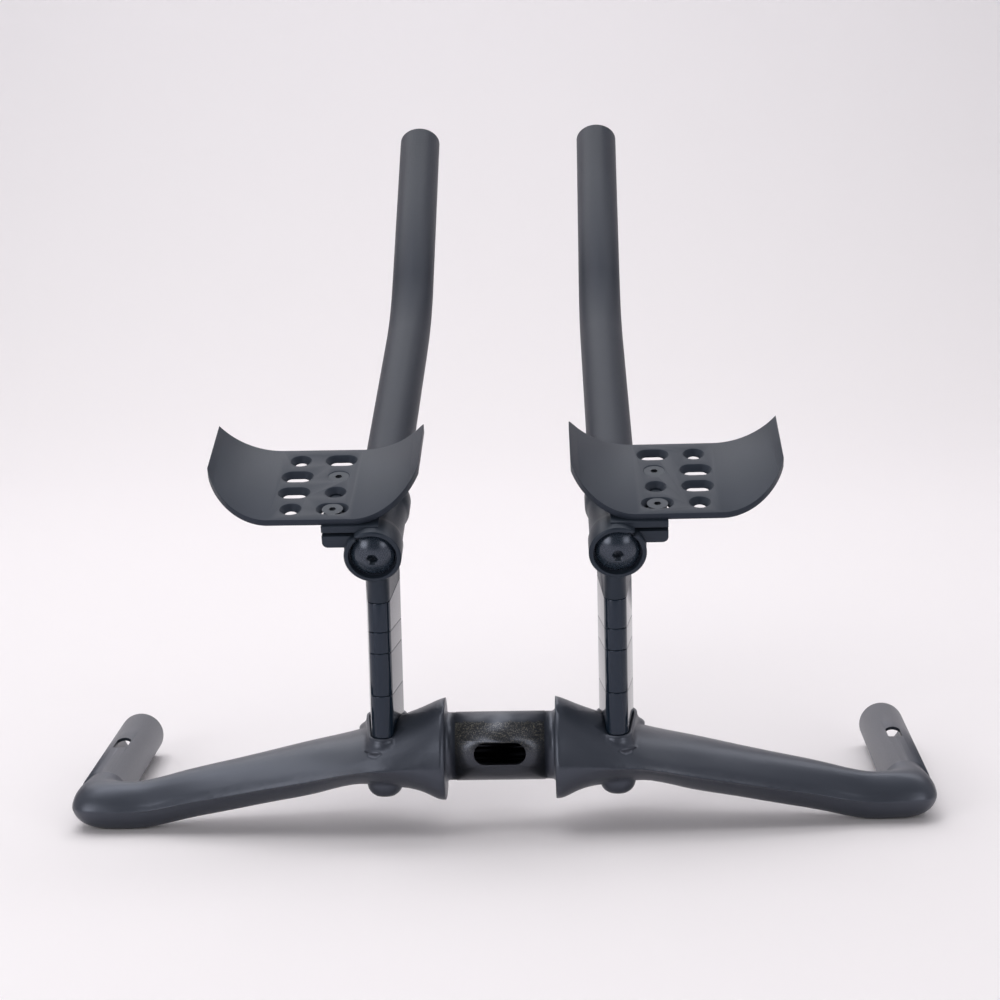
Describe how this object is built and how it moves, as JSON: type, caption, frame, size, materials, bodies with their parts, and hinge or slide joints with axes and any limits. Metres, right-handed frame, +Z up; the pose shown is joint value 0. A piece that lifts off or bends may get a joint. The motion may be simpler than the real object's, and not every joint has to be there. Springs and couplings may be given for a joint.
{
  "type": "aero handlebar with clip-on extensions",
  "caption": "Aero base bar with a round stem clamp waist, winged arms and forward horns, carrying riser stacks, split clamps, curled armrest plates and bent extension tubes.",
  "frame": {"origin": "centre of the stem clamp waist", "axes": "+X along the waist to the right hand side, +Y forward along the horns, +Z up"},
  "size_m": [0.4032, 0.362, 0.3118],
  "materials": {
    "carbon_bar": "matt bluish-black carbon",
    "extension_tube": "matt bluish-black carbon",
    "riser_spacer": "satin black moulding",
    "clamp_alloy": "black anodised",
    "armrest_plate": "matt black sheet",
    "end_dome": "gloss black",
    "steel_fastener": "black oxide",
    "alloy_sleeve": "plain turned"
  },
  "bodies": {
    "bar": {"base_bar": "carbon_bar", "left_riser_spacer_low": "riser_spacer", "left_riser_spacer_mid": "riser_spacer", "left_riser_spacer_thin": "riser_spacer", "left_riser_wedge": "riser_spacer", "left_riser_sleeve_rear": "alloy_sleeve", "left_riser_sleeve_front": "alloy_sleeve", "left_riser_washer_rear": "steel_fastener", "left_riser_washer_front": "steel_fastener", "left_riser_bolt_rear": "steel_fastener", "left_riser_bolt_front": "steel_fastener", "left_extension_clamp": "clamp_alloy", "left_armrest_plate": "armrest_plate", "left_armrest_screw_rear": "steel_fastener", "left_armrest_screw_front": "steel_fastener", "right_riser_spacer_low": "riser_spacer", "right_riser_spacer_mid": "riser_spacer", "right_riser_spacer_thin": "riser_spacer", "right_riser_wedge": "riser_spacer", "right_riser_sleeve_rear": "alloy_sleeve", "right_riser_sleeve_front": "alloy_sleeve", "right_riser_washer_rear": "steel_fastener", "right_riser_washer_front": "steel_fastener", "right_riser_bolt_rear": "steel_fastener", "right_riser_bolt_front": "steel_fastener", "right_extension_clamp": "clamp_alloy", "right_armrest_plate": "armrest_plate", "right_armrest_screw_rear": "steel_fastener", "right_armrest_screw_front": "steel_fastener"},
    "left_extension": {"left_extension_tube": "extension_tube", "left_end_dome": "end_dome", "left_expander_sleeve": "alloy_sleeve", "left_expander_cone": "alloy_sleeve"},
    "right_extension": {"right_extension_tube": "extension_tube", "right_end_dome": "end_dome", "right_expander_sleeve": "alloy_sleeve", "right_expander_cone": "alloy_sleeve"}
  },
  "joints": [
    {"name": "left_extension_slide", "type": "slide", "parent": "bar", "child": "left_extension", "axis": [0.0213, 0.9395, 0.342], "range_m": [-0.06, 0]},
    {"name": "right_extension_slide", "type": "slide", "parent": "bar", "child": "right_extension", "axis": [-0.0213, 0.9395, 0.342], "range_m": [-0.06, 0]}
  ]
}
